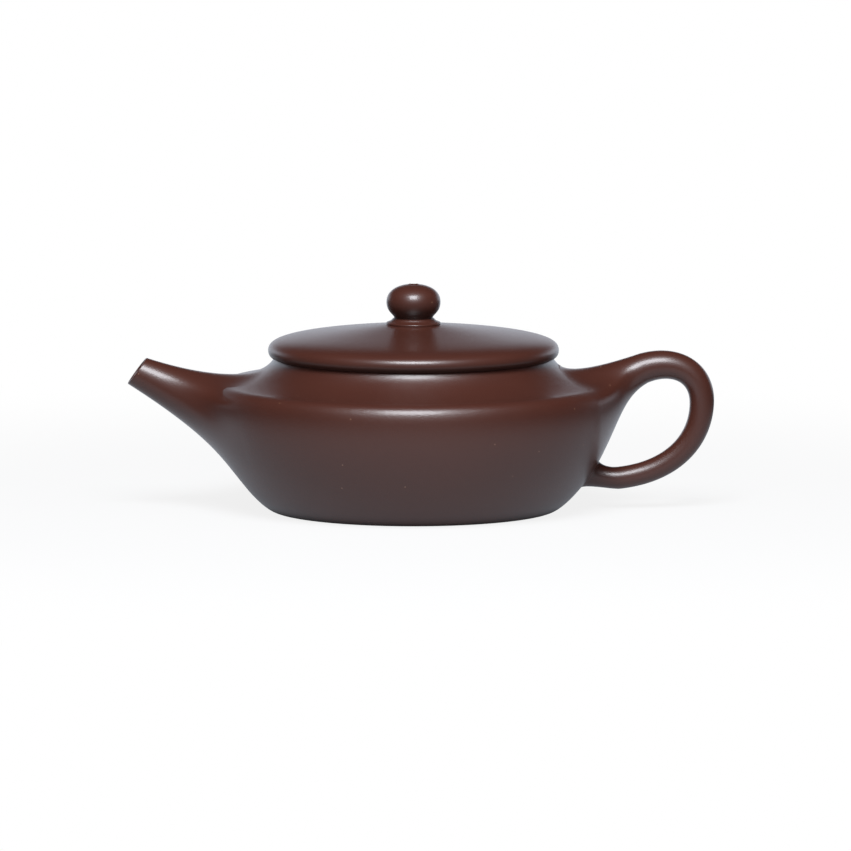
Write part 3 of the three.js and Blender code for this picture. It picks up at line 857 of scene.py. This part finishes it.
# Two Beziers, below and above the widest ring, turned. The lips stand left and right of the vent: a
# ridge exp(-((r - lipRadius) / lipWidth)^2) round it, raised by lipHeight cos(a)^2 and sunk by
# notch sin(a)^2.
def makeKnob():
    k = knobShape
    neck = collarShape["neck"]
    widest = knobBase + k["underside"]
    crown = knobTop - k["crownDrop"]
    slope = math.radians(k["crownSlope"])
    way = np.array([math.cos(slope), -math.sin(slope)])
    foot = np.array([k["lipFoot"], crown])
    side = (knobRadius, widest)
    low = bezier(
        [(neck, knobBase), (neck, knobBase + k["pullNeck"]), (knobRadius, widest - k["pullLow"]), side],
        steps(k["lowRows"]),
    )
    high = bezier(
        [side, (knobRadius, widest + k["pullHigh"]), foot + way * k["pullCrown"], foot],
        steps(k["highRows"]),
    )
    topRadii = mixed(k["lipFoot"], vent, steps(k["topRows"])[1:])
    line = np.vstack([low, high[1:], np.column_stack([topRadii, np.full(len(topRadii), crown)])])
    angle = circle(k["sides"])
    c, s = np.cos(angle), np.sin(angle)
    r, z = line[:, :1], line[:, 1:]
    ridge = np.exp(-(((r - k["lipRadius"]) / k["lipWidth"]) ** 2)) * (z > widest)
    lips = k["lipHeight"] * c**2 - k["notch"] * s**2
    points = np.stack([r * c, r * s, z + ridge * lips], -1)
    normals = gridNormals(points, k["lowRows"], (1, 0, 0))
    bore = np.stack([points[-1], points[-1] * [1, 1, 0] + [0, 0, knobBase]])
    inward = np.stack([-c, -s, 0 * angle], -1)
    patches = [(points, normals, 0), (bore, np.stack([inward, inward]), 0)]
    rest = np.array([[vent, knobBase], [neck, knobBase]])
    return patches + turned([stretchOf(rest)], 0, k["sides"])


makePiece("knob_clay", makeKnob(), [polished], "lid", "knob")

# The strainer stays as it is in the frame, in raw clay.
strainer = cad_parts["spout_strainer"]
strainer.data.materials.clear()
strainer.data.materials.append(raw)


# Studio: one soft box overhead, white paper below and behind, and a dark room in front. Gloss shows the
# paper bright behind the pot, and dim in front and far off, with painted shade under its foot. Lengths
# are in metres.
studio = {
    "paperSize": 6.0, "paperColour": (0.86, 0.86, 0.87, 1), "paperBounce": (0.42, 0.42, 0.42, 1),
    "paperGlow": 0.85, "shadowStart": 0.10, "shadowEnd": 0.30,
    "paperInGloss": 0.33, "paperBehind": 1.0, "behindStart": -0.02, "behindEnd": 0.14,
    "fadeFloor": 0.05, "straightStart": 0.70, "straightEnd": 0.93, "fadeStart": 0.08, "fadeEnd": 0.24,
    "footShade": 0.06, "underFoot": 0.0376, "openPaper": 0.042,
    "glossTint": (0.90, 0.98, 1.10, 1),
    "fill": 0.05, "frontFill": 0.45, "frontElevation": 30.0,
    "backdrop": [
        (0.0, 1.0), (0.16, 1.0), (0.26, 0.55), (0.33, 0.16), (0.40, 0.03), (0.50, 0.01), (1.0, 0.02),
    ],
    "backdropShade": 0.03, "backdropFront": 0.45, "backdropSide": 0.8,
    "halo": 0.55, "haloElevation": 34.0, "haloPower": 12.0,
    "keyDistance": 0.9, "keyWidth": 0.42, "keyDepth": 0.46, "keyElevation": 52.0, "keyPower": 7.4,
    "keyColour": (0.92, 0.95, 1.0), "keyTarget": (0.0, 0.0, 0.03),
    "cameraDistance": 6.0, "cameraElevation": 6.9, "cameraReach": 40.0, "sensorWidth": 36.0,
    "pictureWidth": 0.2298, "pictureMiddle": (0.00324, 0.0, 0.0227),
}
white = (1, 1, 1, 1)
shownRays = ("Is Camera Ray", "Is Glossy Ray", "Is Transmission Ray")


# The way from the pot to a place straight in front of it, at an elevation in degrees.
def frontWay(elevation):
    e = math.radians(elevation)
    return np.array([0.0, -math.cos(e), math.sin(e)])


# The paper shows white to the camera, and keeps the pot's shadow only near the pot.
def makeFloor():
    half = studio["paperSize"] / 2
    corners = [(-half, -half, 0), (half, -half, 0), (half, half, 0), (-half, half, 0)]
    mesh = bpy.data.meshes.new("tablePaper")
    mesh.from_pydata(corners, [], [(0, 1, 2, 3)])
    floor = addObject("tablePaper", mesh)
    material = bpy.data.materials.new("tablePaper")
    start = emptyTree(material)
    place = start.node("ShaderNodeTexCoord", output="Object")
    away = start.node("ShaderNodeVectorMath", {"operation": "LENGTH"}, {0: place}, "Value")
    back = place.along("Y")
    straight = (back / away).fade(
        studio["straightStart"], studio["straightEnd"], studio["fadeFloor"], 1.0
    )
    distant = away.fade(studio["fadeStart"], studio["fadeEnd"], 1.0, 0.0)
    behind = back.fade(
        studio["behindStart"], studio["behindEnd"], studio["paperInGloss"], studio["paperBehind"]
    )
    # Painted shade: the paper's glow that gloss sees is dimmed close round the foot.
    paintedFootShade = away.fade(studio["underFoot"], studio["openPaper"], studio["footShade"], 1.0)
    seen, mirrored, through = (start.ray(kind) for kind in shownRays)
    glow = start.node("ShaderNodeEmission", None, {
        "Color": mirrored.between(white, studio["glossTint"]),
        "Strength": 1 - mirrored * (1 - behind * paintedFootShade * distant.largest(straight)),
    })
    bounced = start.ray("Is Diffuse Ray").between(studio["paperColour"], studio["paperBounce"])
    paper = start.node("ShaderNodeBsdfDiffuse", None, {"Color": bounced})
    far = away.fade(studio["shadowStart"], studio["shadowEnd"], studio["paperGlow"], 1.0)
    share = (seen + mirrored + through) * far
    surface = start.node("ShaderNodeMixShader", None, {0: share, 1: paper, 2: glow})
    start.node("ShaderNodeOutputMaterial", None, {"Surface": surface})
    mesh.materials.append(material)


# Diffuse light is a little fill and a broad soft front light. Gloss shows the white backdrop low behind
# the pot, which fades upwards, and a dark room in front with a soft halo in it.
def makeWorld():
    world = bpy.data.worlds.new("studio")
    start = emptyTree(world)
    way = start.node("ShaderNodeTexCoord", output="Generated")

    def towards(elevation):
        pair = {0: way, 1: tuple(float(v) for v in frontWay(elevation))}
        near = start.node("ShaderNodeVectorMath", {"operation": "DOT_PRODUCT"}, pair, "Value")
        return near.largest(0.0)

    stops = [(place, (level, level, level, 1)) for place, level in studio["backdrop"]]
    backdrop = start.node("ShaderNodeValToRGB", {"stops": stops}, {0: way.along("Z")})
    back = way.along("Y").fade(
        studio["backdropFront"], studio["backdropSide"], studio["backdropShade"], 1.0
    )
    halo = towards(studio["haloElevation"]) ** studio["haloPower"] * studio["halo"]
    lit = studio["fill"] + towards(studio["frontElevation"]) * studio["frontFill"]
    seen, mirrored, through = (start.ray(kind) for kind in shownRays)
    diffuse = 1 - seen - mirrored - through
    sky = start.node("ShaderNodeBackground", None, {
        "Color": mirrored.between(white, studio["glossTint"]),
        "Strength": seen + through + mirrored * (backdrop * back + halo) + diffuse * lit,
    })
    start.node("ShaderNodeOutputWorld", None, {"Surface": sky})
    bpy.context.scene.world = world


def aim(thing, place, target):
    thing.location = place
    thing.rotation_euler = (Vector(target) - Vector(place)).to_track_quat("-Z", "Y").to_euler()


def makeKey():
    lamp = bpy.data.lights.new("softBox", "AREA")
    lamp.shape = "RECTANGLE"
    lamp.size = studio["keyWidth"]
    lamp.size_y = studio["keyDepth"]
    lamp.energy = studio["keyPower"]
    lamp.color = studio["keyColour"]
    place = frontWay(studio["keyElevation"]) * studio["keyDistance"]
    aim(addObject("softBox", lamp), place, studio["keyTarget"])


# The lens takes in pictureWidth at the camera's distance.
def makeCamera():
    camera = bpy.data.cameras.new("camera")
    camera.sensor_width = studio["sensorWidth"]
    camera.lens = studio["sensorWidth"] * studio["cameraDistance"] / studio["pictureWidth"]
    camera.clip_end = studio["cameraReach"]
    holder = addObject("camera", camera)
    middle = np.array(studio["pictureMiddle"])
    aim(holder, middle + frontWay(studio["cameraElevation"]) * studio["cameraDistance"], middle)
    bpy.context.scene.camera = holder
    bpy.context.view_layer.update()


makeFloor()
makeWorld()
makeKey()
makeCamera()
bpy.context.scene.view_settings.view_transform = "Standard"
print("studio lit")
